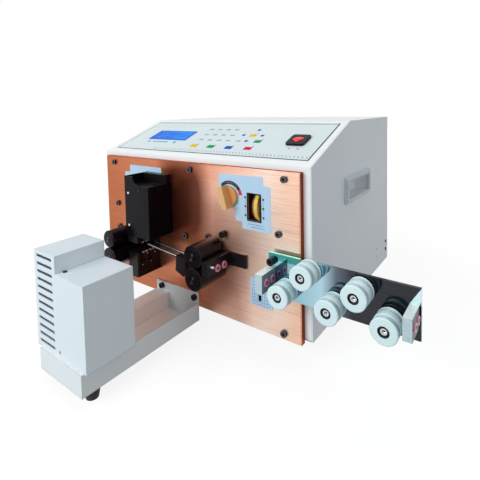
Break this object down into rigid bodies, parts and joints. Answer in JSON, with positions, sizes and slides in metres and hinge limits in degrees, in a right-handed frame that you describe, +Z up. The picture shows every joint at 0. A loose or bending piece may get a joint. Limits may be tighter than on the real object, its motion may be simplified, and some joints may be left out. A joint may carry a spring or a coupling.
{
  "type": "wire stripping machine",
  "caption": "Bench-top wire cutting and stripping machine with sloped keypad, feed rollers, covered blades, roller straightener arm and a twisting unit on a sheet arm.",
  "frame": {"origin": "on the bench, under the middle of the whole machine", "axes": "+X to the wire inlet end, +Y to the back of the housing, +Z up"},
  "size_m": [0.5804, 0.5684, 0.335],
  "materials": {
    "panel_grey": "satin",
    "panel_white": "satin",
    "zinc_sheet": "matte",
    "foot_rubber": "matte",
    "handle_grey": "satin",
    "copper_plate": "satin",
    "black_screw": "satin",
    "membrane": "matte",
    "display": "gloss",
    "key_film": "matte",
    "black_plastic": "satin",
    "rocker_red": "gloss",
    "knob_tan": "satin",
    "wheel_yellow": "satin",
    "roller_black": "satin",
    "black_metal": "matte",
    "pink_ceramic": "gloss",
    "tube_steel": "polished",
    "blade_steel": "satin",
    "cover_black": "satin",
    "screw_white": "satin",
    "arm_white": "satin",
    "box_white": "satin",
    "polished_plate": "polished",
    "block_blue": "satin",
    "roller_pale": "satin",
    "bolt_steel": "satin",
    "motor_black": "matte",
    "circuit_green": "satin"
  },
  "bodies": {
    "machine": {"side_panel_left": "panel_grey", "side_panel_right": "panel_grey", "top_cover": "panel_white", "front_frame": "panel_white", "rear_panel": "panel_grey", "base_plate": "zinc_sheet", "housing_feet": "foot_rubber", "handle_left": "handle_grey", "handle_right": "handle_grey", "front_plate": "copper_plate", "plate_screws": "black_screw", "membrane_board": "membrane", "display_window": "display", "key_pads": "key_film", "switch_bezel": "black_plastic", "thumbwheel_bracket": "zinc_sheet", "inlet_guide_bar": "black_metal", "inlet_eyelets": "pink_ceramic", "cutter_bracket": "black_metal", "cutter_cover": "cover_black", "cover_screws": "screw_white", "arm_tray": "arm_white", "arm_bolts": "black_screw", "arm_feet": "foot_rubber", "twister_cover": "box_white", "twister_bracket": "zinc_sheet", "twister_motor": "motor_black", "straightener_plate": "polished_plate", "straightener_mounts": "black_screw", "guide_block_inner": "block_blue", "guide_block_outer": "block_blue", "block_eyelets": "pink_ceramic", "roller_bolts": "bolt_steel", "feed_motors": "motor_black", "cutter_motor": "motor_black", "power_supply": "zinc_sheet", "control_board": "circuit_green"},
    "rocker": {"power_rocker": "rocker_red"},
    "knob": {"mode_knob": "knob_tan"},
    "wheel": {"thumbwheel": "wheel_yellow"},
    "inlet_lower": {"inlet_lower_roller": "roller_black"},
    "inlet_lift": {"inlet_carriage": "black_metal"},
    "inlet_upper": {"inlet_upper_roller": "roller_black"},
    "pressure": {"pressure_knob": "black_plastic"},
    "tube_arm": {"tube_holder": "black_metal", "guide_tubes": "tube_steel"},
    "upper_cutter": {"upper_blade_holder": "black_metal", "upper_blades": "blade_steel"},
    "lower_cutter": {"lower_blade_holder": "black_metal", "lower_blades": "blade_steel"},
    "pinion": {"cutter_pinion": "tube_steel"},
    "outlet_lower": {"outlet_lower_roller": "roller_black"},
    "outlet_lift": {"outlet_carriage": "black_metal"},
    "outlet_upper": {"outlet_upper_roller": "roller_black"},
    "twister": {"twister_head": "bolt_steel"},
    "straightener_1": {"straightener_roller_1": "roller_pale"},
    "straightener_2": {"straightener_roller_2": "roller_pale"},
    "straightener_3": {"straightener_roller_3": "roller_pale"},
    "straightener_4": {"straightener_roller_4": "roller_pale"},
    "straightener_5": {"straightener_roller_5": "roller_pale"}
  },
  "joints": [
    {"name": "rocker_tip", "type": "hinge", "parent": "machine", "child": "rocker", "pos_m": [0.09947, 0.00219, 0.30606], "axis": [1, 0, 0], "range_deg": [0, 12]},
    {"name": "knob_turn", "type": "hinge", "parent": "machine", "child": "knob", "pos_m": [0.02765, -0.07975, 0.2295], "axis": [0, -1, 0], "range_deg": [-60, 60]},
    {"name": "wheel_turn", "type": "hinge", "parent": "machine", "child": "wheel", "pos_m": [0.07416, -0.06125, 0.218], "axis": [1, 0, 0], "continuous": true},
    {"name": "inlet_feed", "type": "hinge", "parent": "machine", "child": "inlet_lower", "pos_m": [0.00125, -0.10975, 0.1162], "axis": [0, 1, 0], "continuous": true},
    {"name": "inlet_press", "type": "slide", "parent": "machine", "child": "inlet_lift", "axis": [0, 0, 1], "range_m": [0, 0.004]},
    {"name": "inlet_return", "type": "hinge", "parent": "inlet_lift", "child": "inlet_upper", "pos_m": [0.00125, -0.10975, 0.1498], "axis": [0, 1, 0], "continuous": true},
    {"name": "pressure_turn", "type": "hinge", "parent": "machine", "child": "pressure", "pos_m": [0.01725, -0.08975, 0.1715], "axis": [0, 1, 0], "continuous": true},
    {"name": "tube_swing", "type": "hinge", "parent": "machine", "child": "tube_arm", "pos_m": [-0.03925, -0.10625, 0.122], "axis": [0, 1, 0], "range_deg": [-5.5, 10]},
    {"name": "cutter_drive", "type": "hinge", "parent": "machine", "child": "pinion", "pos_m": [-0.13989, -0.06975, 0.181], "axis": [0, -1, 0], "range_deg": [0, 80.3]},
    {"name": "upper_cut", "type": "slide", "parent": "machine", "child": "upper_cutter", "axis": [0, 0, 1], "range_m": [-0.007, 0]},
    {"name": "lower_cut", "type": "slide", "parent": "machine", "child": "lower_cutter", "axis": [0, 0, 1], "range_m": [0, 0.007]},
    {"name": "outlet_feed", "type": "hinge", "parent": "machine", "child": "outlet_lower", "pos_m": [-0.17211, -0.10975, 0.1162], "axis": [0, 1, 0], "continuous": true},
    {"name": "outlet_press", "type": "slide", "parent": "machine", "child": "outlet_lift", "axis": [0, 0, 1], "range_m": [0, 0.004]},
    {"name": "outlet_return", "type": "hinge", "parent": "outlet_lift", "child": "outlet_upper", "pos_m": [-0.17211, -0.10975, 0.1473], "axis": [0, 1, 0], "continuous": true},
    {"name": "twister_spin", "type": "hinge", "parent": "machine", "child": "twister", "pos_m": [-0.12285, -0.20975, 0.125], "axis": [0, 1, 0], "continuous": true},
    {"name": "straightener_1_roll", "type": "hinge", "parent": "machine", "child": "straightener_1", "pos_m": [0.13019, -0.10625, 0.121], "axis": [0, 1, 0], "continuous": true},
    {"name": "straightener_2_roll", "type": "hinge", "parent": "machine", "child": "straightener_2", "pos_m": [0.16249, -0.10625, 0.1535], "axis": [0, 1, 0], "continuous": true},
    {"name": "straightener_3_roll", "type": "hinge", "parent": "machine", "child": "straightener_3", "pos_m": [0.19479, -0.10625, 0.121], "axis": [0, 1, 0], "continuous": true},
    {"name": "straightener_4_roll", "type": "hinge", "parent": "machine", "child": "straightener_4", "pos_m": [0.22709, -0.10625, 0.1474], "axis": [0, 1, 0], "continuous": true},
    {"name": "straightener_5_roll", "type": "hinge", "parent": "machine", "child": "straightener_5", "pos_m": [0.25939, -0.10625, 0.121], "axis": [0, 1, 0], "continuous": true}
  ],
  "couplings": [
    {"joint": "inlet_return", "follows": "inlet_feed", "ratio": -1},
    {"joint": "outlet_return", "follows": "outlet_feed", "ratio": -1.1739},
    {"joint": "lower_cut", "follows": "upper_cut", "ratio": -1},
    {"joint": "cutter_drive", "follows": "upper_cut", "rad_per_m": -200}
  ]
}
